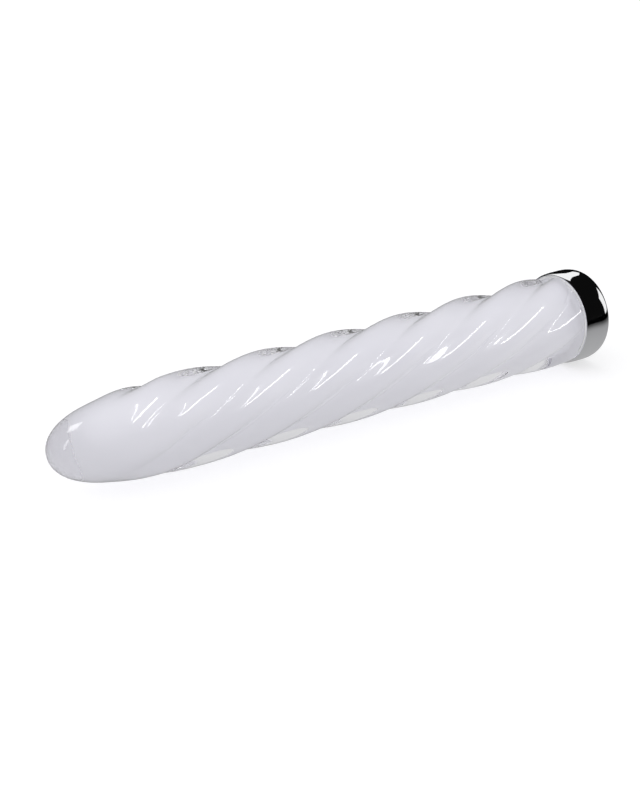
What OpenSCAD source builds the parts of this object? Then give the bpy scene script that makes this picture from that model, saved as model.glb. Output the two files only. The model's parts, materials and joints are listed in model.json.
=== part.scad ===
// Glass wand, 208 mm long, lying along X: the domed tip is at -X and the chrome end cap at +X.
// Millimetres, +Z up. The origin is on the table, under the middle of the wand.
// Clear glass with twisted lobes is cased over an opal core. A motor cartridge sits in a blind bore
// in the core, and the end cap closes the bore and carries the button and the charging contacts.

/* [Glass] */
// Overall length, tip to the back of the end cap
overall_len = 208; // [180:1:230]
// Number of lobes around the glass
lobes = 6; // [4:1:8]
// Radius of the glass at the bottom of the grooves
base_r = 11.75; // [11.75:0.05:12.1]
// Height of a lobe above the grooves
lobe_rise = 2.42; // [1:0.02:2.44]
// Extra radius of the glass next to the end cap
flare = 0.7; // [0:0.05:0.7]
// Length over which the flare dies away
flare_len = 35; // [20:1:45]
// Turn of the lobes from the end cap to the tip, in degrees
twist = 427; // [0:1:460]
// Length of the plain domed tip
dome_len = 26; // [22:1:30]

/* [Opal core] */
// Radius of the opal core
core_r = 9.8; // [9.7:0.1:10.4]
// Clear glass between the tip and the opal core
tip_wall = 9.5; // [8:0.5:11]
// Distance from the mouth of the end cap at which the opal core steps down to its neck
neck_start = 4.5; // [3:0.1:6]
// Radius of the blind bore for the cartridge
bore_r = 9; // [8.85:0.05:9.1]

/* [End cap] */
// Radius of the end cap's band
cap_r = 15; // [14.8:0.05:15.5]
// Length of the end cap
cap_len = 10.7; // [10.7:0.1:12]
// Thickness of the end cap's wall at its band
cap_wall = 0.9; // [0.85:0.05:0.95]

/* [Button] */
// Radius of the power button
button_r = 4.42; // [4.3:0.01:4.45]

/* [Motor] */
// Radius of the motor's can
motor_r = 6; // [5.8:0.1:6.4]
// Radius of the motor's shaft
shaft_r = 0.75; // [0.7:0.05:0.8]
// Radius of the eccentric weight
weight_r = 5.5; // [4:0.1:6.5]

/* [Cell] */
// Radius of the rechargeable cell's can
cell_r = 4.95; // [4.9:0.01:5]
// Length of the cell's can
cell_len = 42; // [40:0.5:42]

/* [Hidden] */
$fn = 96;
gap = 0.05;                             // clearance between parts that only sit together
running_fit = 0.03;                     // radial clearance of the motor's shaft in its bushings
axis_z = cap_r;                         // the end cap rests on the table
rear_x = overall_len / 2;               // flat back of the end cap
rim_x = rear_x - cap_len;               // mouth of the end cap
tip_x = -overall_len / 2;
glass_len = rim_x - tip_x;              // the glass that shows

// Glass
groove_power = 1.1;                     // 1 is a sharp groove, 2 a soft one
dome_power = 2.32;                      // 2 is an ellipse, and more is blunter
swell = 0.55;                           // extra radius of the glass behind the dome
fade_start = 15.4;                      // the lobes rise out of the dome from here
fade_len = 26;
start_angle = -10;                      // where the first lobe meets the end cap, from the top
twist_ease = 40;                        // how much the twist tightens towards the end cap
rim_round = 1.6;                        // the lobes close down to the spigot over this length
spigot_r = 13.5;                        // round glass inside the end cap
spigot_len = 4.2;
points_per_lobe = 10;
ring_points = lobes * points_per_lobe;
dome_steps = 13;
body_steps = 42;

// Opal core
core_tip_x = tip_x + tip_wall;
neck_x = rim_x - neck_start;
neck_r = 9.5;
neck_slope = 0.8;                       // length of the step down to the neck
core_dome_len = dome_len - 8;
core_steps = 16;

// End cap, measured from its mouth
mouth_r = cap_r - cap_wall;
mouth_drop = 0.45;                      // the band falls away this far towards the mouth
mouth_slope = 3.4;                      // over this length
back_drop = 1.5;                        // and this far towards the back
back_slope = 4.2;                       // over this length
back_wall = 1.2;
inner_x = rear_x - back_wall;           // inside face of the back
seal_len = 1.5;
arc_steps = 10;

// Cartridge
flange_x = rim_x + spigot_len;          // the cartridge's flange sits on the end of the glass
flange_len = 1;
flange_r = 13.2;
tube_r = 8.6;
tube_wall = 1.1;
tube_in_r = tube_r - tube_wall;
tube_len = 81;
tube_x = flange_x - tube_len;
nose_len = 1.6;
nose_plug_len = 4;
bore_x = tube_x - nose_len - 0.5;       // blind end of the bore
o_ring_r = 0.8;
o_ring_sink = 0.4;                      // depth of an O-ring's groove in the tube
o_ring_places = [tube_x + 8, flange_x - 8];

// Motor
weight_x = tube_x + 6.5;
weight_len = 8;
motor_x = weight_x + weight_len + 1.5;
motor_len = 14;
motor_wall = 0.4;
bell_len = 1.4;
bell_x = motor_x + motor_len;
bushing_r = 2.1;
bushing_len = 1.8;
magnet_in_r = 4.7;
armature_r = 4.4;
armature_x = motor_x + 2.4;
armature_len = 7.6;
commutator_r = 1.7;
commutator_len = 2;
commutator_x = armature_x + armature_len + 0.3;
shaft_x = weight_x - 0.8;
shaft_end = bell_x + bell_len - 0.3;
sleeve_gap = 1;                         // the sleeve stops short of both ends of the can

// Cell
foam_x = bell_x + bell_len + 0.9;
foam_len = 1.6;
contact_r = 4;
contact_len = 0.3;
cell_x = foam_x + foam_len + contact_len;
wrap = 0.1;
cell_cap_r = 2.6;
cell_cap_len = 0.9;
cell_end = cell_x + cell_len;
cradle_slot = 3.4;                      // slot along the top of the cradle, for the leads
lead_r = 0.4;
lead_y = 0.9;
lead_z = 6.4;

// Circuit board and what is on it
board_x = flange_x + flange_len + 0.2;
board_len = 0.8;
board_r = 12;
board_top = board_x + board_len;
switch_w = 4.4;
switch_len = 1.2;
plunger_r = 1;
plunger_len = 1.1;
plunger_x = board_top + switch_len + 0.55 - plunger_len;
chip_len = 0.9;
led_len = 0.6;
led_y = 6.6;
screw_r = 0.7;
screw_head_r = 1.5;
screw_y = 7;
screw_z = 7.4;

// Button and light ring
button_hole_r = 4.5;
ring_r = 5.3;
ring_flange_r = 6.2;
ring_flange_len = 0.6;
button_back = rear_x - 0.2;             // the button is a little below the back of the end cap
button_flange_r = 5.2;
button_flange_len = 0.6;
button_flange_x = inner_x - ring_flange_len - gap - button_flange_len;
button_seal_r = 0.35;

// Charging contacts, below the button, and the magnets that hold the charger
pin_r = 1;
pin_y = 3;
pin_z = -9;
pin_sleeve_r = 1.7;
magnet_r = 2;
magnet_len = 1.1;
magnet_y = 9.6;

// Puts children drawn along +Z at x on the wand's axis, or beside it by y and z
module on_axis(x, y = 0, z = 0) {
  translate([x, y, axis_z + z]) rotate([0, 90, 0]) children();
}

module rod(x, len, r, y = 0, z = 0) {
  on_axis(x, y, z) cylinder(h = len, r = r);
}

module tube(x, len, r, hole_r, y = 0, z = 0) {
  on_axis(x, y, z) difference() {
    cylinder(h = len, r = r);
    translate([0, 0, -1]) cylinder(h = len + 2, r = hole_r);
  }
}

// A box that lies on the wand's axis at x, with its sides along Y and Z
module block(x, len, w, h, y = 0, z = 0) {
  translate([x, y - w / 2, axis_z + z - h / 2]) cube([len, w, h]);
}

function smooth(u) = let (c = min(max(u, 0), 1)) c * c * (3 - 2 * c);

// The dome: 0 at its tip and 1 at its full radius, over the length len
function dome(d, len) = pow(1 - pow(1 - min(max(d / len, 0), 1), 2), 1 / dome_power);

// Radius at the bottom of the grooves, d from the tip
function plain_r(d) =
  (base_r + flare * exp(-pow((glass_len - d) / flare_len, 2)) + swell * (1 - smooth(d / dome_len - 1)))
  * dome(d, dome_len);

// 1 along the glass, falling to 0 where it meets the end cap
function rim_fade(d) = smooth((glass_len - d) / rim_round);

// Radius of the grooves and height of the lobes, both closing down to the round spigot
function groove_r(d) = spigot_r + (plain_r(d) - spigot_r) * rim_fade(d);
function rise(d) = lobe_rise * smooth((d - fade_start) / fade_len) * rim_fade(d);

// Angle of the first lobe's crest from the top of the wand, turning towards +Y
function crest_angle(d) = let (t = (glass_len - d) / glass_len)
  start_angle - twist * t - twist_ease * t * (1 - t);

// One ring of points, d from the tip. The points turn with the lobes.
function glass_ring(d) = [
  for (i = [0 : ring_points - 1])
    let (
      a = 360 * i / ring_points,
      r = groove_r(d) + rise(d) * pow(abs(cos(lobes * a / 2)), groove_power),
      turned = a + crest_angle(min(d, glass_len))
    )
    [tip_x + d, r * sin(turned), axis_z + r * cos(turned)]
];

module glass_body() {
  stations = [
    for (i = [1 : dome_steps]) dome_len * (1 - cos(90 * i / dome_steps)),
    for (i = [1 : body_steps]) dome_len + (glass_len - rim_round - dome_len) * i / body_steps,
    for (i = [1 : 3]) glass_len - rim_round * (1 - i / 3),
    glass_len + spigot_len
  ];
  rings = len(stations);
  n = ring_points;
  polyhedron(
    points = [
      [tip_x, 0, axis_z],
      for (d = stations) each glass_ring(d)
    ],
    faces = [
      for (j = [0 : n - 1]) [0, 1 + j, 1 + (j + 1) % n],
      for (i = [0 : rings - 2], j = [0 : n - 1])
        let (a = 1 + i * n + j, b = 1 + i * n + (j + 1) % n) each [[a, a + n, b + n], [a, b + n, b]],
      [for (j = [0 : n - 1]) 1 + (rings - 1) * n + j]
    ],
    convexity = 8
  );
}

module core_body() {
  dome_points = [
    for (i = [0 : core_steps])
      let (d = core_dome_len * (1 - cos(90 * i / core_steps)))
      [core_r * dome(d, core_dome_len), d]
  ];
  neck_d = neck_x - core_tip_x;
  end_d = flange_x - core_tip_x;
  on_axis(core_tip_x) rotate_extrude() polygon(concat(
    dome_points,
    [[core_r, neck_d], [neck_r, neck_d + neck_slope], [neck_r, end_d], [0, end_d]]
  ));
}

module glass_casing() {
  color("lightsteelblue", 0.4) difference() {
    glass_body();
    core_body();
    rod(flange_x - 1, 2, neck_r);
  }
}

module opal_core() {
  color("white") difference() {
    core_body();
    rod(bore_x, flange_x + 1 - bore_x, bore_r);
  }
}

// A quarter of an ellipse from one angle to the next, about a centre
function arc(centre, rx, ry, from, to) = [
  for (i = [0 : arc_steps])
    let (a = from + (to - from) * i / arc_steps)
    [centre[0] + rx * cos(a), centre[1] + ry * sin(a)]
];

module end_cap() {
  color("silver") difference() {
    on_axis(rim_x) rotate_extrude() polygon(concat(
      [[mouth_r, cap_len - back_wall], [mouth_r, 0]],
      arc([cap_r - mouth_drop, mouth_slope], mouth_drop, mouth_slope, -90, 0),
      arc([cap_r - back_drop, cap_len - back_slope], back_drop, back_slope, 0, 90),
      [[ring_r, cap_len], [ring_r, cap_len - back_wall]]
    ));
    for (side = [-1, 1]) rod(inner_x - 1, back_wall + 2, pin_sleeve_r, side * pin_y, pin_z);
  }
}

module seal_ring() {
  color("gainsboro") tube(rim_x, seal_len, mouth_r, spigot_r);
}

module bond_ring() {
  color("ivory", 0.6) tube(rim_x + seal_len, spigot_len - seal_len, mouth_r, spigot_r);
}

module cartridge_tube() {
  color("silver") difference() {
    union() {
      rod(tube_x, tube_len + flange_len, tube_r);
      rod(flange_x, flange_len, flange_r);
    }
    rod(tube_x - 1, tube_len + flange_len + 2, tube_in_r);
    for (x = o_ring_places) tube(x - o_ring_r, 2 * o_ring_r, tube_r + 1, tube_r - o_ring_sink);
    for (side = [-1, 1]) rod(flange_x - 1, flange_len + 2, screw_r, side * screw_y, screw_z);
  }
}

module cartridge_nose() {
  color("dimgray") {
    rod(tube_x - nose_len, nose_len, tube_r);
    rod(tube_x - gap, nose_plug_len, tube_in_r);
  }
}

// A flattened O-ring that fills its groove and bears on the bore
module o_ring(x) {
  color("black") tube(x - o_ring_r + gap, 2 * (o_ring_r - gap), bore_r, tube_r - o_ring_sink);
}

module o_ring_front() { o_ring(o_ring_places[0]); }
module o_ring_rear() { o_ring(o_ring_places[1]); }

module motor_sleeve() {
  color("darkslategray") tube(motor_x + sleeve_gap, motor_len - 2 * sleeve_gap, tube_in_r, motor_r);
}

module motor_can() {
  color("silver") difference() {
    rod(motor_x, motor_len, motor_r);
    rod(motor_x + motor_wall, motor_len, motor_r - motor_wall);
    rod(motor_x - 1, 3, bushing_r);
  }
}

module motor_bell() {
  color("whitesmoke") difference() {
    union() {
      rod(bell_x, bell_len, motor_r);
      rod(bell_x - 1, 1.1, motor_r - motor_wall);
    }
    rod(bell_x - 2, bell_len + 4, bushing_r);
  }
}

module motor_magnet(side) {
  color("dimgray") difference() {
    tube(motor_x + 1.6, 10, motor_r - motor_wall, magnet_in_r);
    block(motor_x, motor_len, 20, 20, 0, -side * 7.6);
  }
}

module motor_magnet_upper() { motor_magnet(1); }
module motor_magnet_lower() { motor_magnet(-1); }

module bushing(x) {
  color("goldenrod") tube(x, bushing_len, bushing_r, shaft_r + running_fit);
}

module bushing_front() { bushing(motor_x - 1); }
module bushing_rear() { bushing(bell_x - 0.7); }

module rotor_shaft() {
  color("lightgray") rod(shaft_x, shaft_end - shaft_x, shaft_r);
}

// Three poles of stacked steel on the shaft
module armature() {
  color("peru") difference() {
    rod(armature_x, armature_len, armature_r);
    rod(armature_x - 1, armature_len + 2, shaft_r);
    for (i = [0 : 2]) {
      a = 60 + i * 120;
      rod(armature_x - 1, armature_len + 2, 1.1, 2.9 * sin(a), 2.9 * cos(a));
      translate([armature_x - 1, 0, axis_z]) rotate([-a, 0, 0])
        translate([0, -0.4, 2.9]) cube([armature_len + 2, 0.8, 3]);
    }
  }
}

module commutator() {
  color("chocolate") tube(commutator_x, commutator_len, commutator_r, shaft_r);
}

// A half disc on the shaft, with a hub round it
module eccentric_weight() {
  color("slategray") difference() {
    union() {
      difference() {
        rod(weight_x, weight_len, weight_r);
        block(weight_x - 1, weight_len + 2, 3 * weight_r, weight_r * 2, 0, weight_r);
      }
      rod(weight_x, weight_len, shaft_r + 1.3);
    }
    rod(weight_x - 1, weight_len + 2, shaft_r);
  }
}

module foam_pad() {
  color("gray") difference() {
    rod(foam_x, foam_len, tube_in_r - 0.3);
    block(foam_x - 1, foam_len + 2, cradle_slot, 4, 0, tube_in_r);
  }
}

module cell_can() {
  color("silver") rod(cell_x, cell_len, cell_r);
}

module cell_wrap() {
  color("steelblue") tube(cell_x, cell_len, cell_r + wrap, cell_r);
}

module cell_cap() {
  color("silver") rod(cell_end, cell_cap_len, cell_cap_r);
}

module contact_front() {
  color("khaki") rod(cell_x - contact_len, contact_len, contact_r);
}

// A disc on the cell's cap, with a tab that runs back to the circuit board
module contact_rear() {
  color("khaki") {
    rod(cell_end + cell_cap_len, contact_len, contact_r);
    block(cell_end + cell_cap_len, board_x - cell_end - cell_cap_len, 2, contact_len, 0, 1 - contact_r);
  }
}

module cell_cradle() {
  color("darkgray") difference() {
    tube(cell_x, cell_len, tube_in_r, cell_r + wrap);
    block(cell_x - 1, cell_len + 2, cradle_slot, 6, 0, cell_r + 3);
  }
}

module motor_lead(side, shade) {
  color(shade) rod(bell_x + bell_len, board_x - bell_x - bell_len, lead_r, side * lead_y, lead_z);
}

module motor_lead_left() { motor_lead(-1, "firebrick"); }
module motor_lead_right() { motor_lead(1, "black"); }

module circuit_board() {
  color("darkgreen") difference() {
    rod(board_x, board_len, board_r);
    for (side = [-1, 1]) rod(board_x - 1, board_len + 2, screw_r, side * screw_y, screw_z);
  }
}

module controller_chip() {
  color("black") block(board_top, chip_len, 4, 4, -7, -2.5);
}

module charger_chip() {
  color("black") block(board_top, chip_len, 3, 3, 7, -2.5);
}

module led(side) {
  color("lemonchiffon") block(board_top, led_len, 1.6, 0.8, side * led_y, 1.5);
}

module led_left() { led(-1); }
module led_right() { led(1); }

module board_screw(side) {
  color("silver") {
    rod(flange_x + gap, board_top - flange_x, screw_r, side * screw_y, screw_z);
    rod(board_top, 0.7, screw_head_r, side * screw_y, screw_z);
  }
}

module board_screw_left() { board_screw(-1); }
module board_screw_right() { board_screw(1); }

module switch_body() {
  color("silver") difference() {
    block(board_top, switch_len, switch_w, switch_w);
    rod(board_top - 1, switch_len + 2, plunger_r + gap);
  }
}

module switch_plunger() {
  color("black") rod(plunger_x, plunger_len, plunger_r);
}

// The frosted ring that the button slides in
module light_ring() {
  color("azure", 0.8) difference() {
    union() {
      rod(inner_x, back_wall, ring_r);
      rod(inner_x - ring_flange_len, ring_flange_len, ring_flange_r);
    }
    rod(inner_x - 2, back_wall + 4, button_hole_r);
  }
}

module power_button() {
  color("silver") difference() {
    union() {
      rod(button_flange_x, button_back - button_flange_x, button_r);
      rod(button_flange_x, button_flange_len, button_flange_r);
      rod(plunger_x + plunger_len, button_flange_x - plunger_x - plunger_len, plunger_r);
    }
    tube(inner_x + 0.2, 2 * button_seal_r, button_r + 1, button_r - button_seal_r);
    on_axis(rear_x + 16.2) sphere(r = 16.5);
  }
}

module button_seal() {
  color("black") tube(inner_x + 0.2 + gap, 2 * (button_seal_r - gap), button_hole_r - gap / 2,
    button_r - button_seal_r);
}

module charge_pin(side) {
  color("gold") rod(board_top, rear_x - 0.1 - board_top, pin_r, side * pin_y, pin_z);
}

module charge_pin_left() { charge_pin(-1); }
module charge_pin_right() { charge_pin(1); }

module pin_sleeve(side) {
  color("black") tube(inner_x - 0.8, back_wall + 0.8, pin_sleeve_r, pin_r, side * pin_y, pin_z);
}

module pin_sleeve_left() { pin_sleeve(-1); }
module pin_sleeve_right() { pin_sleeve(1); }

module charger_magnet(side) {
  color("gainsboro") rod(inner_x - magnet_len, magnet_len, magnet_r, side * magnet_y, 0);
}

module charger_magnet_left() { charger_magnet(-1); }
module charger_magnet_right() { charger_magnet(1); }

glass_casing();
opal_core();
end_cap();
seal_ring();
bond_ring();
cartridge_tube();
cartridge_nose();
o_ring_front();
o_ring_rear();
motor_sleeve();
motor_can();
motor_bell();
motor_magnet_upper();
motor_magnet_lower();
bushing_front();
bushing_rear();
rotor_shaft();
armature();
commutator();
eccentric_weight();
foam_pad();
cell_can();
cell_wrap();
cell_cap();
contact_front();
contact_rear();
cell_cradle();
motor_lead_left();
motor_lead_right();
circuit_board();
controller_chip();
charger_chip();
led_left();
led_right();
board_screw_left();
board_screw_right();
switch_body();
switch_plunger();
light_ring();
power_button();
button_seal();
charge_pin_left();
charge_pin_right();
pin_sleeve_left();
pin_sleeve_right();
charger_magnet_left();
charger_magnet_right();
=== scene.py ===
# A glass wand with twisted lobes over an opal core, and its chrome end cap.
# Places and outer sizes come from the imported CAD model, and the shapes repeat its numbers.
# Metres, +X from the tip to the end cap, +Z up.
import json
from math import cos, pi, radians, sin, tau

import bmesh
import bpy
import numpy as np
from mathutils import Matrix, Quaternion, Vector


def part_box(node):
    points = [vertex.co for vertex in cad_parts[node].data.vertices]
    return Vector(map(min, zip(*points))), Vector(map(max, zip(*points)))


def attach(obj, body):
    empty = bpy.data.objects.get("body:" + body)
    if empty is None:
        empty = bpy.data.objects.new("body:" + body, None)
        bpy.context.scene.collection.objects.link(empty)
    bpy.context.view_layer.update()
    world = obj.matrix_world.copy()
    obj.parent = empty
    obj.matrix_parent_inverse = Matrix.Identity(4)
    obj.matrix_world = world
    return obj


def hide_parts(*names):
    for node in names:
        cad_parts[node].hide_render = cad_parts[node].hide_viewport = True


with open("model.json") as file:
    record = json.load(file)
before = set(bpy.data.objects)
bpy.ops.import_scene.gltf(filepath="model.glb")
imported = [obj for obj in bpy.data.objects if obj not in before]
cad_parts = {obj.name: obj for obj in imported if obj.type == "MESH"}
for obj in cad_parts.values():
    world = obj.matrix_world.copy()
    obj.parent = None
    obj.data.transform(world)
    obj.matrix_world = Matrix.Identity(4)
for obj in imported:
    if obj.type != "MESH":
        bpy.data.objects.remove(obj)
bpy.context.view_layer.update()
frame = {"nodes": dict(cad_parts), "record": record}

MM = 0.001
nodes = frame["nodes"]

# ---------------------------------------------------------------- places taken from the frame
cap_lo, cap_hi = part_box("end_cap")
glass_lo, glass_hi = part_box("glass_casing")
core_lo, core_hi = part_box("opal_core")
seal_lo, seal_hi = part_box("seal_ring")
ring_lo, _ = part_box("light_ring")
button_lo, button_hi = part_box("power_button")

AXIS_Z = (cap_lo.z + cap_hi.z) / 2
CAP_R = (cap_hi.z - cap_lo.z) / 2
TIP_X = glass_lo.x
RIM_X = cap_lo.x
REAR_X = cap_hi.x
GLASS_END_X = glass_hi.x
GLASS_LEN = RIM_X - TIP_X
MOUTH_R = (seal_hi.z - seal_lo.z) / 2
CORE_R = (core_hi.z - core_lo.z) / 2

# ---------------------------------------------------------------- the glass, as the CAD model shapes it
LOBES = 6
BASE_R = 11.75 * MM
LOBE_RISE = 2.42 * MM
FLARE = 0.7 * MM
FLARE_LEN = 35 * MM
TWIST = 427
TWIST_EASE = 40
START_ANGLE = -10
DOME_LEN = 26 * MM
CORE_DOME_LEN = DOME_LEN - 8 * MM
DOME_POWER = 2.32
SWELL = 0.55 * MM
FADE_START = 15.4 * MM
FADE_LEN = 26 * MM
RIM_ROUND = 1.6 * MM
SPIGOT_R = 13.5 * MM
GROOVE_POWER = 1.1
GROOVE_SOFT = 0.10          # rounds the bottom of a groove
NECK_R = 9.5 * MM
NECK_START = 4.5 * MM
NECK_SLOPE = 0.8 * MM
GROUND_BACK = 0.15 * MM     # the ground white face stands this far inside the cap's mouth
GROUND_SHELL = 0.3 * MM     # thickness of the spigot's wall, which is hollow here
SKIN = 0.02 * MM            # room between two pieces that would otherwise share a face


def smooth(u):
    """0 up to u = 0, 1 from u = 1, and an easy curve between them."""
    c = np.clip(u, 0, 1)
    return c * c * (3 - 2 * c)


def dome(d, length):
    """The dome's radius, as a share of its full radius, d from its tip."""
    return (1 - (1 - np.clip(d / length, 0, 1)) ** 2) ** (1 / DOME_POWER)


def groove_r(d):
    """Radius at the bottom of the grooves, d from the tip."""
    flare = FLARE * np.exp(-((GLASS_LEN - d) / FLARE_LEN) ** 2)
    plain = (BASE_R + flare + SWELL * (1 - smooth(d / DOME_LEN - 1))) * dome(d, DOME_LEN)
    return SPIGOT_R + (plain - SPIGOT_R) * rim_fade(d)


def rim_fade(d):
    """1 along the glass, falling to 0 at the cap's mouth, where the glass becomes the round spigot."""
    return smooth((GLASS_LEN - d) / RIM_ROUND)


def rise(d):
    """Height of the lobes, d from the tip. They grow out of the plain dome."""
    return LOBE_RISE * smooth((d - FADE_START) / FADE_LEN) * rim_fade(d)


def crest_angle(d):
    """How far the lobes have turned, in degrees, d from the tip."""
    t = (GLASS_LEN - np.minimum(d, GLASS_LEN)) / GLASS_LEN
    return START_ANGLE - TWIST * t - TWIST_EASE * t * (1 - t)


def lobe(angle):
    """Height of the lobes round the glass, 0 in a groove and 1 on a crest."""
    wave = np.abs(np.cos(np.radians(LOBES * angle / 2)))
    crest = np.sqrt(1 + GROOVE_SOFT ** 2) - GROOVE_SOFT
    soft = (np.sqrt(wave ** 2 + GROOVE_SOFT ** 2) - GROOVE_SOFT) / crest
    return soft ** GROOVE_POWER


# ---------------------------------------------------------------- mesh helpers
SHARP_ANGLE = 35


def new_object(name, verts, faces, material, shade=True):
    mesh = bpy.data.meshes.new(name)
    mesh.from_pydata([tuple(v) for v in verts], [], faces)
    mesh.update()
    piece = bpy.data.objects.new(name, mesh)
    bpy.context.scene.collection.objects.link(piece)
    mesh.materials.append(material)
    for poly in mesh.polygons:
        poly.use_smooth = shade
    return piece


def grid_faces(rings, count, start=0, flip=False):
    """Quads between rings of count points each, which follow one another from point number start."""
    faces = []
    for i in range(rings - 1):
        for j in range(count):
            a = start + i * count + j
            b = start + i * count + (j + 1) % count
            quad = (a, b, b + count, a + count)
            faces.append(quad[::-1] if flip else quad)
    return faces


def ring_points(x, radius, count, y=0.0, z=0.0):
    """Points round the wand's axis, or round a line that stands y and z away from it."""
    angles = [tau * j / count for j in range(count)]
    return [(x, y + radius * sin(a), AXIS_Z + z + radius * cos(a)) for a in angles]


def mark_sharp(bm):
    """Keeps the shading from running smoothly over the edges that are sharp."""
    for edge in bm.edges:
        if len(edge.link_faces) == 2 and edge.calc_face_angle(0) > radians(SHARP_ANGLE):
            edge.smooth = False


def lathe(name, profile, material, count=160, y=0.0, z=0.0):
    """A closed turned piece about X. profile is a loop of (x, radius), and a radius of 0 is on the axis."""
    mesh = bpy.data.meshes.new(name)
    bm = bmesh.new()
    rings = []
    for x, radius in profile:
        if radius <= 1e-9:
            rings.append([bm.verts.new((x, y, AXIS_Z + z))])
        else:
            rings.append([bm.verts.new(p) for p in ring_points(x, radius, count, y, z)])
    for i in range(len(rings)):
        a, b = rings[i], rings[(i + 1) % len(rings)]
        if len(a) == 1 and len(b) == 1:
            continue
        for j in range(count):
            k = (j + 1) % count
            if len(a) == 1:
                bm.faces.new((a[0], b[k], b[j]))
            elif len(b) == 1:
                bm.faces.new((a[j], a[k], b[0]))
            else:
                bm.faces.new((a[j], a[k], b[k], b[j]))
    bmesh.ops.recalc_face_normals(bm, faces=bm.faces)
    for face in bm.faces:
        face.smooth = True
    mark_sharp(bm)
    bm.to_mesh(mesh)
    bm.free()
    piece = bpy.data.objects.new(name, mesh)
    bpy.context.scene.collection.objects.link(piece)
    mesh.materials.append(material)
    return piece


def arc(x, radius, rx, rr, start, stop, steps=24):
    """Points on part of an ellipse about (x, radius), where angle 0 points outward from the axis."""
    return [
        (x + rx * sin(radians(start + (stop - start) * i / steps)),
         radius + rr * cos(radians(start + (stop - start) * i / steps)))
        for i in range(steps + 1)
    ]


def cut(piece, cutters):
    """Takes the cutters away from the piece, and the cutters go."""
    for cutter in cutters:
        mod = piece.modifiers.new("cut", "BOOLEAN")
        mod.operation = "DIFFERENCE"
        mod.solver = "EXACT"
        mod.object = cutter
        bpy.context.view_layer.objects.active = piece
        bpy.ops.object.modifier_apply(modifier=mod.name)
        bpy.data.objects.remove(cutter)
    bm = bmesh.new()
    bm.from_mesh(piece.data)
    mark_sharp(bm)
    bm.to_mesh(piece.data)
    bm.free()


# ---------------------------------------------------------------- material helpers
NOISE_LOW, NOISE_HIGH = 0.3, 0.7    # where nearly all of a noise's values lie


class Nodes:
    """A material's nodes, with short calls to add and join them."""

    def __init__(self, name):
        self.material = bpy.data.materials.new(name)
        self.material.use_nodes = True
        self.tree = self.material.node_tree
        self.tree.nodes.clear()
        self.out = self.tree.nodes.new("ShaderNodeOutputMaterial")
        self.coords = self.add("ShaderNodeTexCoord")

    def add(self, kind, **sockets):
        node = self.tree.nodes.new(kind)
        for key, value in sockets.items():
            node.inputs[key.replace("_", " ")].default_value = value
        return node

    def join(self, source, target):
        self.tree.links.new(source, target)

    def mapped(self, scale=(1, 1, 1), rotation=(0, 0, 0)):
        mapping = self.add("ShaderNodeMapping")
        mapping.inputs["Scale"].default_value = scale
        mapping.inputs["Rotation"].default_value = rotation
        self.join(self.coords.outputs["Object"], mapping.inputs["Vector"])
        return mapping.outputs["Vector"]

    def noise(self, vector, scale, detail=3.0, roughness=0.5):
        node = self.add("ShaderNodeTexNoise", Scale=scale, Detail=detail, Roughness=roughness)
        self.join(vector, node.inputs["Vector"])
        return node.outputs["Fac"]

    def ramp(self, fac, stops):
        node = self.add("ShaderNodeValToRGB")
        elements = node.color_ramp.elements
        while len(elements) < len(stops):
            elements.new(0.5)
        for element, (place, colour) in zip(elements, stops):
            element.position = place
            element.color = (*colour, 1)
        self.join(fac, node.inputs["Fac"])
        return node.outputs["Color"]

    def tones(self, fac, low, high):
        """Colours from low to high over a noise's range."""
        return self.ramp(fac, [(NOISE_LOW, low), (NOISE_HIGH, high)])

    def spread(self, fac, low, high):
        """Numbers from low to high over a noise's range."""
        node = self.add("ShaderNodeMapRange")
        node.inputs["From Min"].default_value = NOISE_LOW
        node.inputs["From Max"].default_value = NOISE_HIGH
        node.inputs["To Min"].default_value = low
        node.inputs["To Max"].default_value = high
        self.join(fac, node.inputs["Value"])
        return node.outputs["Result"]

    def bump(self, height, strength, distance, shader):
        node = self.add("ShaderNodeBump", Strength=strength, Distance=distance)
        self.join(height, node.inputs["Height"])
        self.join(node.outputs["Normal"], shader.inputs["Normal"])

    def principled(self, **sockets):
        shader = self.add("ShaderNodeBsdfPrincipled", **sockets)
        self.join(shader.outputs["BSDF"], self.out.inputs["Surface"])
        return shader


def tint(colour, factor):
    return tuple(min(c * factor, 1.0) for c in colour)


# ---------------------------------------------------------------- materials
def clear_glass():
    """Clear fire-polished glass with faint drawing ripples.

    Shadow and diffuse rays pass straight through, so that what is inside the glass is evenly lit, and the
    rougher coat spreads the lamps' reflections a little.
    """
    m = Nodes("clear_glass")
    shader = m.add("ShaderNodeBsdfPrincipled", Roughness=0.0, IOR=1.5)
    shader.inputs["Base Color"].default_value = (0.985, 0.985, 1.0, 1)
    shader.inputs["Transmission Weight"].default_value = 1.0
    shader.inputs["Coat Weight"].default_value = 1.0
    shader.inputs["Coat Roughness"].default_value = 0.16
    ripple = m.noise(m.mapped((18, 60, 60)), 1.0, detail=1.0)
    m.bump(ripple, 0.02, 0.0003, shader)
    clear = m.add("ShaderNodeBsdfTransparent")
    clear.inputs["Color"].default_value = (0.97, 0.97, 0.985, 1)
    path = m.add("ShaderNodeLightPath")
    either = m.add("ShaderNodeMath")
    either.operation = "MAXIMUM"
    m.join(path.outputs["Is Shadow Ray"], either.inputs[0])
    m.join(path.outputs["Is Diffuse Ray"], either.inputs[1])
    mix = m.add("ShaderNodeMixShader")
    m.join(either.outputs[0], mix.inputs["Fac"])
    m.join(shader.outputs["BSDF"], mix.inputs[1])
    m.join(clear.outputs["BSDF"], mix.inputs[2])
    m.join(mix.outputs["Shader"], m.out.inputs["Surface"])
    return m.material


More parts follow.
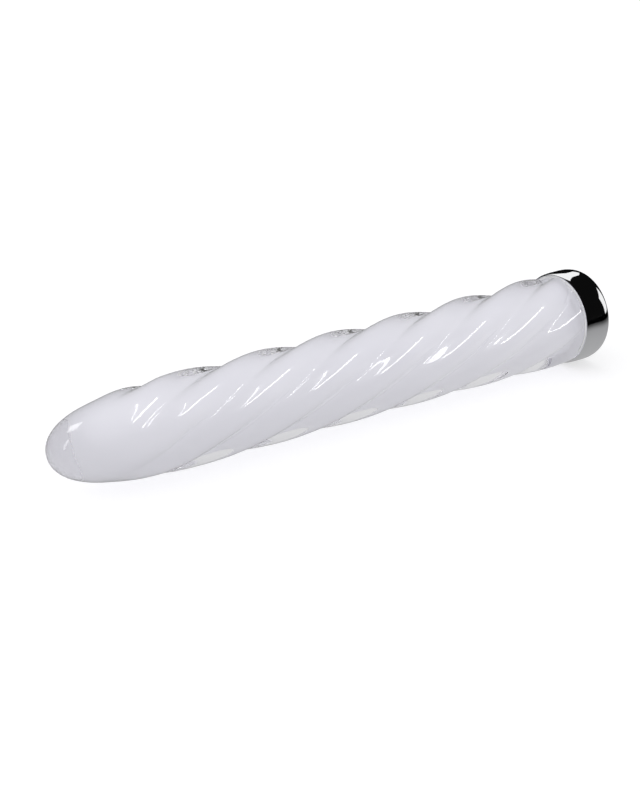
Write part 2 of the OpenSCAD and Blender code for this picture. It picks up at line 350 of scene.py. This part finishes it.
def opal_glass():
    """Milky white glass: a smooth body with faint drawn-out clouds."""
    m = Nodes("opal_glass")
    clouds = m.noise(m.mapped((12, 45, 45)), 1.0, detail=4.0)
    colour = m.tones(clouds, (0.735, 0.73, 0.775), (0.79, 0.785, 0.825))
    shader = m.principled(Roughness=0.35)
    shader.inputs["Specular IOR Level"].default_value = 0.1
    m.join(colour, shader.inputs["Base Color"])
    return m.material


def chrome(name, colour=(0.87, 0.875, 0.885)):
    """Mirror chrome with a little haze where it is handled."""
    m = Nodes(name)
    shader = m.principled(Metallic=1.0)
    shader.inputs["Base Color"].default_value = (*colour, 1)
    haze = m.noise(m.mapped(), 260.0, detail=4.0)
    m.join(m.spread(haze, 0.032, 0.05), shader.inputs["Roughness"])
    swirl = m.noise(m.mapped(), 60.0, detail=1.0)
    m.bump(swirl, 0.004, 0.00001, shader)
    return m.material


def metal(name, colour, rough=0.3, grain=(40, 900, 900), depth=0.25):
    """Worked metal: fine lines along or round the piece, and uneven sheen."""
    m = Nodes(name)
    lines = m.noise(m.mapped(grain), 1.0, detail=3.0)
    tone = m.tones(lines, tint(colour, 0.86), tint(colour, 1.06))
    shader = m.principled(Metallic=1.0)
    m.join(tone, shader.inputs["Base Color"])
    m.join(m.spread(lines, rough * 0.8, rough * 1.3), shader.inputs["Roughness"])
    m.bump(lines, depth, 0.00004, shader)
    return m.material


def sintered(name, colour, rough=0.5, metallic=1.0):
    """Pressed and sintered stuff, with small pores."""
    m = Nodes(name)
    cells = m.add("ShaderNodeTexVoronoi", Scale=2600.0)
    m.join(m.mapped(), cells.inputs["Vector"])
    blotch = m.noise(m.mapped(), 500.0, detail=5.0)
    tone = m.tones(blotch, tint(colour, 0.75), tint(colour, 1.15))
    shader = m.principled(Metallic=metallic)
    m.join(tone, shader.inputs["Base Color"])
    m.join(m.spread(blotch, rough * 0.8, rough * 1.25), shader.inputs["Roughness"])
    m.bump(cells.outputs["Distance"], 0.35, 0.00005, shader)
    return m.material


def plastic(name, colour, rough=0.45, grain=1800.0, depth=0.2):
    """Moulded plastic or rubber, with the fine grain of its mould."""
    m = Nodes(name)
    fine = m.noise(m.mapped(), grain, detail=2.0)
    broad = m.noise(m.mapped(), 120.0, detail=3.0)
    tone = m.tones(broad, tint(colour, 0.9), tint(colour, 1.08))
    shader = m.principled()
    m.join(tone, shader.inputs["Base Color"])
    m.join(m.spread(fine, rough * 0.85, rough * 1.2), shader.inputs["Roughness"])
    m.bump(fine, depth, 0.00003, shader)
    return m.material


def winding():
    """Enamelled copper wire in close turns, with painted shade down between the turns."""
    m = Nodes("copper_winding")
    wires = m.add("ShaderNodeTexWave", Scale=520.0, Distortion=1.2)
    wires.bands_direction = "Z"
    m.join(m.mapped(), wires.inputs["Vector"])
    # painted shade: the dark end of this ramp lies in the grooves between the turns
    tone = m.ramp(wires.outputs["Fac"], [(0.1, (0.22, 0.07, 0.03)), (0.6, (0.75, 0.33, 0.15))])
    shader = m.principled(Metallic=0.9, Roughness=0.28)
    m.join(tone, shader.inputs["Base Color"])
    m.bump(wires.outputs["Fac"], 0.6, 0.0001, shader)
    return m.material


def board():
    """Green solder mask over copper tracks."""
    m = Nodes("board_green")
    tracks = m.add("ShaderNodeTexBrick", Scale=420.0)
    tracks.inputs["Mortar Size"].default_value = 0.06
    tracks.inputs["Color1"].default_value = (0.02, 0.16, 0.06, 1)
    tracks.inputs["Color2"].default_value = (0.022, 0.19, 0.075, 1)
    tracks.inputs["Mortar"].default_value = (0.06, 0.33, 0.12, 1)
    m.join(m.mapped((1, 1, 1), (0, pi / 2, 0)), tracks.inputs["Vector"])
    shader = m.principled(Roughness=0.3)
    m.join(tracks.outputs["Color"], shader.inputs["Base Color"])
    m.bump(tracks.outputs["Fac"], 0.3, 0.00005, shader)
    return m.material


def foam():
    """Grey open-cell foam, with painted shade darkening its cells."""
    m = Nodes("foam")
    cells = m.add("ShaderNodeTexVoronoi", Scale=1400.0)
    m.join(m.mapped(), cells.inputs["Vector"])
    # painted shade: each cell is dark in its middle, where the bump sinks it into a pit
    tone = m.ramp(cells.outputs["Distance"], [(0.0, (0.12, 0.12, 0.13)), (0.6, (0.36, 0.36, 0.38))])
    shader = m.principled(Roughness=0.95)
    m.join(tone, shader.inputs["Base Color"])
    m.bump(cells.outputs["Distance"], 0.8, 0.0002, shader)
    return m.material


def frosted(name, colour, rough=0.4):
    """A lamp's resin or frosted plastic: pale, with light spreading in it."""
    m = Nodes(name)
    broad = m.noise(m.mapped(), 300.0, detail=4.0)
    tone = m.tones(broad, tint(colour, 0.94), tint(colour, 1.05))
    shader = m.principled()
    shader.inputs["Subsurface Weight"].default_value = 0.15
    shader.inputs["Subsurface Scale"].default_value = 0.002
    m.join(tone, shader.inputs["Base Color"])
    m.join(m.spread(broad, rough * 0.8, rough * 1.2), shader.inputs["Roughness"])
    m.bump(broad, 0.15, 0.00005, shader)
    return m.material


glass = clear_glass()
opal = opal_glass()
chrome_cap = chrome("chrome_cap")
chrome_button = chrome("chrome_button", (0.82, 0.825, 0.835))
seal_silicone = plastic("seal_silicone", (0.86, 0.86, 0.85), rough=0.32, grain=900.0, depth=0.08)
frosted_plastic = frosted("frosted_plastic", (0.80, 0.82, 0.84))
black_plastic = plastic("black_plastic", (0.03, 0.03, 0.034))
gold_plate = metal("gold_plate", (0.85, 0.62, 0.25), rough=0.16, depth=0.1)

SLOT_MATERIALS = {
    "clear_glass": glass,
    "opal_glass": opal,
    "chrome_cap": chrome_cap,
    "chrome_button": chrome_button,
    "seal_silicone": seal_silicone,
    "adhesive": frosted("adhesive", (0.72, 0.70, 0.62), rough=0.2),
    "anodised_tube": metal("anodised_tube", (0.72, 0.73, 0.75), rough=0.34, grain=(700, 60, 60)),
    "black_plastic": black_plastic,
    "white_plastic": plastic("white_plastic", (0.82, 0.82, 0.79)),
    "grey_plastic": plastic("grey_plastic", (0.28, 0.29, 0.31)),
    "black_rubber": plastic("black_rubber", (0.02, 0.02, 0.022), rough=0.6),
    "motor_steel": metal("motor_steel", (0.58, 0.58, 0.59), rough=0.28),
    "polished_steel": metal("polished_steel", (0.70, 0.71, 0.73), rough=0.14, depth=0.08),
    "weight_steel": sintered("weight_steel", (0.25, 0.25, 0.27), rough=0.42),
    "ferrite": sintered("ferrite", (0.05, 0.05, 0.055), rough=0.55, metallic=0.2),
    "bronze": sintered("bronze", (0.55, 0.33, 0.13), rough=0.4),
    "copper_winding": winding(),
    "copper": metal("copper", (0.78, 0.38, 0.22), rough=0.2),
    "spring_brass": metal("spring_brass", (0.74, 0.58, 0.27), rough=0.24),
    "gold_plate": gold_plate,
    "foam": foam(),
    "cell_film": plastic("cell_film", (0.05, 0.14, 0.36), rough=0.22, depth=0.05),
    "lead_red": plastic("lead_red", (0.55, 0.03, 0.02), rough=0.35, depth=0.05),
    "lead_black": plastic("lead_black", (0.02, 0.02, 0.02), rough=0.35, depth=0.05),
    "board_green": board(),
    "chip_epoxy": sintered("chip_epoxy", (0.02, 0.02, 0.022), rough=0.6, metallic=0.0),
    "led_resin": frosted("led_resin", (0.85, 0.78, 0.42), rough=0.2),
    "frosted_plastic": frosted_plastic,
    "magnet_nickel": metal("magnet_nickel", (0.66, 0.65, 0.63), rough=0.18, depth=0.06),
}

# every CAD node takes the material of its slot
slot_of = {row["node"]: row["material_slot"] for row in frame["record"]["subparts"]}
for name, cad_object in nodes.items():
    cad_object.data.materials.clear()
    cad_object.data.materials.append(SLOT_MATERIALS[slot_of[name]])


# ---------------------------------------------------------------- the glass casing
def core_profile(offset):
    """The opal core's outline as (x, radius), offset outward, and on through the ground spigot to its end."""
    steps = 40
    core_tip = core_lo.x - offset
    points = []
    for i in range(steps + 1):
        d = CORE_DOME_LEN * (1 - cos(pi / 2 * i / steps))
        points.append((core_tip + d, (CORE_R + offset) * float(dome(d, CORE_DOME_LEN))))
    neck_x = RIM_X - NECK_START
    points.append((neck_x, CORE_R + offset))
    points.append((neck_x + NECK_SLOPE, NECK_R + offset))
    ground_x = RIM_X + GROUND_BACK
    points.append((ground_x, NECK_R + offset))
    points.append((ground_x, SPIGOT_R - GROUND_SHELL))
    points.append((GLASS_END_X, SPIGOT_R - GROUND_SHELL))
    return points


def make_casing():
    """The lobed outer wall at full detail, closed round the opal core's space.

    The wall of that space shows the core's milky glass, and the spigot inside the cap is ground white.
    """
    per_lobe = 28
    count = LOBES * per_lobe
    dome_rings, body_rings, rim_rings = 70, 380, 14
    d_dome = DOME_LEN * (1 - np.cos(np.pi / 2 * np.arange(1, dome_rings + 1) / dome_rings))
    body_end = GLASS_LEN - RIM_ROUND
    d_body = DOME_LEN + (body_end - DOME_LEN) * np.arange(1, body_rings + 1) / body_rings
    d_rim = body_end + RIM_ROUND * np.arange(1, rim_rings + 1) / rim_rings
    stations = np.concatenate([d_dome, d_body, d_rim, [GLASS_END_X - TIP_X]])
    around = 360 * np.arange(count) / count
    wave = lobe(around)
    verts = [(TIP_X, 0.0, AXIS_Z)]
    for d in stations:
        radius = groove_r(d) + rise(d) * wave
        turned = np.radians(around + crest_angle(d))
        verts += zip(np.full(count, TIP_X + d), radius * np.sin(turned), AXIS_Z + radius * np.cos(turned))
    rings = len(stations)
    faces = [(0, 1 + (j + 1) % count, 1 + j) for j in range(count)]
    faces += grid_faces(rings, count, start=1, flip=True)
    outer_faces = len(faces)

    inner_start = len(verts)
    inner = core_profile(SKIN)
    verts.append((inner[0][0], 0.0, AXIS_Z))
    for x, radius in inner[1:]:
        verts += ring_points(x, radius, count)
    faces += [(inner_start, inner_start + 1 + j, inner_start + 1 + (j + 1) % count) for j in range(count)]
    faces += grid_faces(len(inner) - 1, count, start=inner_start + 1)
    inner_stop = len(faces)

    # the flat end of the spigot; the outer rings end turned by shift points from the inner ones
    last_outer = 1 + (rings - 1) * count
    last_inner = inner_start + 1 + (len(inner) - 2) * count
    shift = int(round((float(crest_angle(GLASS_LEN)) / 360) * count))
    for j in range(count):
        k = (j + 1) % count
        a, b = last_outer + (j - shift) % count, last_outer + (k - shift) % count
        faces.append((a, b, last_inner + k, last_inner + j))
    piece = new_object("glass_casing_visual", verts, faces, glass)
    piece.data.materials.append(opal)
    for poly in piece.data.polygons:
        ground = poly.center.x > RIM_X + GROUND_BACK
        if ground or outer_faces <= poly.index < inner_stop:
            poly.material_index = 1
    bm = bmesh.new()
    bm.from_mesh(piece.data)
    bmesh.ops.recalc_face_normals(bm, faces=bm.faces)
    bm.to_mesh(piece.data)
    bm.free()
    return piece


casing = make_casing()
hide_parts("glass_casing")
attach(casing, "wand")

# ---------------------------------------------------------------- the end cap and what is in its back
BACK_WALL = 1.2 * MM
MOUTH_DROP = 0.45 * MM      # the band curves in by this much towards the mouth
MOUTH_SLOPE = 3.4 * MM      # over this length
BACK_DROP = 1.5 * MM        # and by this much towards the back
BACK_SLOPE = 4.2 * MM
PIN_SLEEVE_R = 1.7 * MM
PIN_R = 1.0 * MM
PIN_Z = -9 * MM
PIN_Y = 3 * MM
RING_R = 5.3 * MM
RING_FLANGE_R = 6.2 * MM
RING_FLANGE_LEN = 0.6 * MM
BUTTON_HOLE_R = 4.5 * MM
BUTTON_R = 4.42 * MM
HOLE_OVERRUN = 1 * MM       # a cutter runs this far past both faces
INNER_X = REAR_X - BACK_WALL


def make_end_cap():
    """The cap: a narrow lip, a crowned band, a rounded rear edge, and holes for the button and the pins."""
    lip = 0.12 * MM
    bevel = 0.15 * MM
    profile = [(INNER_X, MOUTH_R), (RIM_X + lip, MOUTH_R)]
    profile += arc(RIM_X + lip, MOUTH_R + lip, -lip, -lip, 0, 90, 6)[1:]
    profile += arc(RIM_X + MOUTH_SLOPE, CAP_R - MOUTH_DROP, MOUTH_SLOPE, MOUTH_DROP, -90, 0, 40)
    profile += arc(REAR_X - BACK_SLOPE, CAP_R - BACK_DROP, BACK_SLOPE, BACK_DROP, 0, 90, 48)
    profile += [(REAR_X, RING_R + bevel), (REAR_X - bevel, RING_R), (INNER_X, RING_R)]
    cap = lathe("end_cap_visual", profile, chrome_cap, count=256)
    front, back = INNER_X - HOLE_OVERRUN, REAR_X + HOLE_OVERRUN
    drill = [(front, 0), (front, PIN_SLEEVE_R), (back, PIN_SLEEVE_R), (back, 0)]
    holes = [lathe("hole", drill, chrome_cap, count=48, y=side * PIN_Y, z=PIN_Z) for side in (-1, 1)]
    cut(cap, holes)
    return cap


end_cap = make_end_cap()
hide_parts("end_cap")
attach(end_cap, "wand")


def make_seal_ring():
    """A soft ring whose face bulges a little out of the mouth's plane, inside the cap's box."""
    inner_r = SPIGOT_R + SKIN
    outer_r = MOUTH_R - SKIN
    mid = (inner_r + outer_r) / 2
    half = (outer_r - inner_r) / 2
    front = seal_lo.x + 0.25 * MM
    bulge = 0.22 * MM
    profile = [(seal_hi.x, outer_r)]
    for angle in range(0, 181, 15):
        a = radians(angle)
        profile.append((front - bulge * sin(a), mid + half * cos(a)))
    profile.append((seal_hi.x, inner_r))
    return lathe("seal_ring_visual", profile, seal_silicone, count=256)


seal_ring = make_seal_ring()
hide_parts("seal_ring")
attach(seal_ring, "wand")


def make_light_ring():
    """The frosted ring that the button slides in, with its flange behind the cap's back wall."""
    bevel = 0.12 * MM
    profile = [
        (ring_lo.x, BUTTON_HOLE_R), (ring_lo.x, RING_FLANGE_R - bevel), (ring_lo.x + bevel, RING_FLANGE_R),
        (INNER_X - SKIN, RING_FLANGE_R), (INNER_X - SKIN, RING_R - SKIN), (REAR_X - bevel, RING_R - SKIN),
        (REAR_X, RING_R - bevel), (REAR_X, BUTTON_HOLE_R + bevel), (REAR_X - bevel, BUTTON_HOLE_R),
    ]
    return lathe("light_ring_visual", profile, frosted_plastic, count=128)


light_ring = make_light_ring()
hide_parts("light_ring")
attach(light_ring, "wand")


def make_button():
    """The button: a stem to the switch, a flange that stops it, a groove for its seal and a dished face."""
    top = button_hi.x
    dish, dish_steps = 0.45 * MM, 14
    bevel = 0.25 * MM
    gap = 0.05 * MM
    stem_r = 1 * MM
    flange_r, flange_len = 5.2 * MM, 0.6 * MM
    groove_depth, groove_len = 0.35 * MM, 0.7 * MM
    flange_x = INNER_X - RING_FLANGE_LEN - gap - flange_len
    groove_x = INNER_X + 0.2 * MM
    profile = [
        (button_lo.x, 0), (button_lo.x, stem_r),
        (flange_x, stem_r), (flange_x, flange_r),
        (flange_x + flange_len, flange_r), (flange_x + flange_len, BUTTON_R),
        (groove_x, BUTTON_R), (groove_x, BUTTON_R - groove_depth),
        (groove_x + groove_len, BUTTON_R - groove_depth), (groove_x + groove_len, BUTTON_R),
        (top - bevel, BUTTON_R),
    ]
    profile += arc(top - bevel, BUTTON_R - bevel, bevel, bevel, 0, 90, 8)[1:]
    rim = BUTTON_R - bevel
    for i in range(dish_steps - 1, -1, -1):
        a = pi / 2 * i / dish_steps
        profile.append((top - dish * cos(a), rim * sin(a)))
    return lathe("power_button_visual", profile, chrome_button, count=128)


button = make_button()
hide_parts("power_button")
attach(button, "button")


def off_axis(lo, hi):
    """How far the middle of a box stands from the wand's axis, as y and z."""
    return (lo.y + hi.y) / 2, (lo.z + hi.z) / 2 - AXIS_Z


def make_pin(side):
    """A gold charging pin with a rounded end."""
    pin_lo, pin_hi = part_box("charge_pin_" + side)
    y, z = off_axis(pin_lo, pin_hi)
    tip = 0.4 * MM
    profile = [(pin_lo.x, 0), (pin_lo.x, PIN_R), (pin_hi.x - tip, PIN_R)]
    profile += arc(pin_hi.x - tip, 0, tip, PIN_R, 0, 90, 10)[1:-1] + [(pin_hi.x, 0)]
    pin = lathe("charge_pin_" + side + "_visual", profile, gold_plate, count=48, y=y, z=z)
    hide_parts("charge_pin_" + side)
    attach(pin, "wand")


def make_pin_sleeve(side):
    """The black sleeve that keeps a charging pin off the chrome."""
    sleeve_lo, sleeve_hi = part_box("pin_sleeve_" + side)
    y, z = off_axis(sleeve_lo, sleeve_hi)
    bevel = 0.1 * MM
    inner, outer = PIN_R + SKIN, PIN_SLEEVE_R - SKIN
    profile = [
        (sleeve_lo.x, inner), (sleeve_lo.x, outer),
        (sleeve_hi.x - bevel, outer), (sleeve_hi.x, outer - bevel),
        (sleeve_hi.x, inner + 2 * bevel), (sleeve_hi.x - 2 * bevel, inner),
    ]
    sleeve = lathe("pin_sleeve_" + side + "_visual", profile, black_plastic, count=64, y=y, z=z)
    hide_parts("pin_sleeve_" + side)
    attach(sleeve, "wand")


for side in ("left", "right"):
    make_pin(side)
    make_pin_sleeve(side)

# ---------------------------------------------------------------- floor, light and camera
CENTRE = Vector((0, 0, AXIS_Z))
FLOOR_SIZE = 8.0
FLOOR_GLOW = 0.53           # added to what the camera sees of the floor
FLOOR_FILL = 0.85           # what dull surfaces find there
FLOOR_THROUGH = 0.74        # what is seen of it through the glass
FLOOR_FADE = [              # what mirrors see of it, by the distance from a point under the cap's back
    (0.0, (0.46, 0.46, 0.465)),
    (0.045, (0.34, 0.34, 0.345)),
    (0.075, (0.12, 0.12, 0.12)),
    (0.12, (0, 0, 0)),
]
ROOM_FILL = 0.865
ROOM_MIRRORED = 0.004
ROOM_THROUGH = 0.72
ROOM_SEEN = 1.0
ROOM_BLUE = 1.005           # the room is this much bluer than grey
CAMERA_LENS = 119.3
CAMERA_PLACE = (-0.48320, -0.57816, 0.27604)
CAMERA_AIM = (0.60012, 0.72709, -0.33346)


def ray_switch(tree, filled, mirrored, through, seen):
    """Joins what dull surfaces find, what mirrors show, what the glass shows and what the camera sees."""
    path = tree.nodes.new("ShaderNodeLightPath")
    inside = tree.nodes.new("ShaderNodeMath")
    inside.operation = "MULTIPLY"
    tree.links.new(path.outputs["Is Glossy Ray"], inside.inputs[0])
    tree.links.new(path.outputs["Transmission Depth"], inside.inputs[1])
    choices = [
        (path.outputs["Is Glossy Ray"], mirrored),
        (inside.outputs["Value"], through),
        (path.outputs["Is Transmission Ray"], through),
        (path.outputs["Is Singular Ray"], through),
        (path.outputs["Is Camera Ray"], seen),
    ]
    shader = filled
    for factor, other in choices:
        mix = tree.nodes.new("ShaderNodeMixShader")
        tree.links.new(factor, mix.inputs["Fac"])
        tree.links.new(shader, mix.inputs[1])
        tree.links.new(other, mix.inputs[2])
        shader = mix.outputs["Shader"]
    return shader


def make_floor():
    """A plain white floor. Mirrors see it fade to black away from the wand."""
    steps = 2
    n = steps + 1
    verts = []
    faces = []
    for j in range(n):
        for i in range(n):
            verts.append((FLOOR_SIZE * (i / steps - 0.5), FLOOR_SIZE * (j / steps - 0.5), 0.0))
            if i < steps and j < steps:
                a = j * n + i
                faces.append((a, a + 1, a + n + 1, a + n))
    m = Nodes("floor")
    grain = m.noise(m.mapped(), 6.0, detail=2.0)
    lit = m.add("ShaderNodeBsdfDiffuse")
    m.join(m.tones(grain, (0.60, 0.60, 0.61), (0.62, 0.62, 0.63)), lit.inputs["Color"])
    glow = m.add("ShaderNodeEmission", Strength=FLOOR_GLOW)
    white = m.add("ShaderNodeAddShader")
    m.join(lit.outputs["BSDF"], white.inputs[0])
    m.join(glow.outputs["Emission"], white.inputs[1])
    even = m.add("ShaderNodeEmission", Strength=FLOOR_FILL)
    away = m.add("ShaderNodeVectorMath")
    away.operation = "DISTANCE"
    away.inputs[1].default_value = (REAR_X, 0, 0)
    m.join(m.coords.outputs["Object"], away.inputs[0])
    fade = m.ramp(away.outputs["Value"], FLOOR_FADE)
    mirrored = m.add("ShaderNodeEmission", Strength=1.0)
    m.join(fade, mirrored.inputs["Color"])
    through = m.add("ShaderNodeEmission", Strength=FLOOR_THROUGH)
    lights = [node.outputs["Emission"] for node in (even, mirrored, through)]
    m.join(ray_switch(m.tree, *lights, white.outputs["Shader"]), m.out.inputs["Surface"])
    return new_object("floor", verts, faces, m.material, shade=False)


make_floor()


def make_world():
    """White for the camera, even light for dull surfaces, and a dark studio for mirrors."""
    world = bpy.data.worlds.new("studio")
    bpy.context.scene.world = world
    world.use_nodes = True
    tree = world.node_tree
    tree.nodes.clear()
    out = tree.nodes.new("ShaderNodeOutputWorld")
    shaders = []
    for level in (ROOM_FILL, ROOM_MIRRORED, ROOM_THROUGH, ROOM_SEEN):
        background = tree.nodes.new("ShaderNodeBackground")
        background.inputs["Color"].default_value = (level, level, level * ROOM_BLUE, 1)
        shaders.append(background.outputs["Background"])
    tree.links.new(ray_switch(tree, *shaders), out.inputs["Surface"])


make_world()


def softbox(name, azimuth, elevation, distance, width, height, power, only, roll=0.0):
    """An area light that looks at the wand, lights only one group of pieces, and is turned by roll.

    Azimuth is from +X towards +Y, and angles are in degrees.
    """
    a, e = radians(azimuth), radians(elevation)
    out = Vector((cos(e) * cos(a), cos(e) * sin(a), sin(e)))
    data = bpy.data.lights.new(name, "AREA")
    data.shape = "RECTANGLE"
    data.size, data.size_y = width, height
    data.energy = power
    lamp = bpy.data.objects.new(name, data)
    bpy.context.scene.collection.objects.link(lamp)
    lamp.location = CENTRE + out * distance
    lamp.rotation_mode = "QUATERNION"
    lamp.rotation_quaternion = (-out).to_track_quat("-Z", "Y") @ Quaternion((0, 0, 1), radians(roll))
    lamp.visible_camera = False
    lamp.visible_transmission = False
    lamp.light_linking.receiver_collection = only


def light_group(name, pieces):
    """The pieces that a lamp lights."""
    group = bpy.data.collections.new(name)
    for piece in pieces:
        group.objects.link(piece)
    return group


on_glass = light_group("lit_glass", [casing, nodes["opal_core"]])
on_chrome = light_group("lit_chrome", [end_cap, button])

# name, azimuth, elevation, distance, width, height, power
softbox("key", -46, 43, 0.9, 0.46, 0.05, 0.9, only=on_glass)
softbox("key_thin", -49, 64, 0.9, 0.60, 0.025, 0.32, only=on_glass, roll=50)
softbox("dome_spot", 134, 66, 1.0, 0.34, 0.30, 1.0, only=on_glass)
softbox("dome_edge", -168, 31, 0.9, 0.10, 0.5, 0.4, only=on_glass)
softbox("cap_top", 54, 38, 0.9, 0.68, 0.56, 1.2, only=on_chrome)
softbox("cap_side", -13, 10, 0.9, 0.42, 0.52, 0.68, only=on_chrome)

camera_data = bpy.data.cameras.new("camera")
camera_data.sensor_width = 36
camera_data.lens = CAMERA_LENS
camera_data.clip_start = 0.05
camera_data.clip_end = 50
camera = bpy.data.objects.new("camera", camera_data)
bpy.context.scene.collection.objects.link(camera)
camera.location = CAMERA_PLACE
camera.rotation_mode = "QUATERNION"
camera.rotation_quaternion = Vector(CAMERA_AIM).to_track_quat("-Z", "Y")
bpy.context.scene.camera = camera
bpy.context.scene.view_settings.view_transform = "Standard"
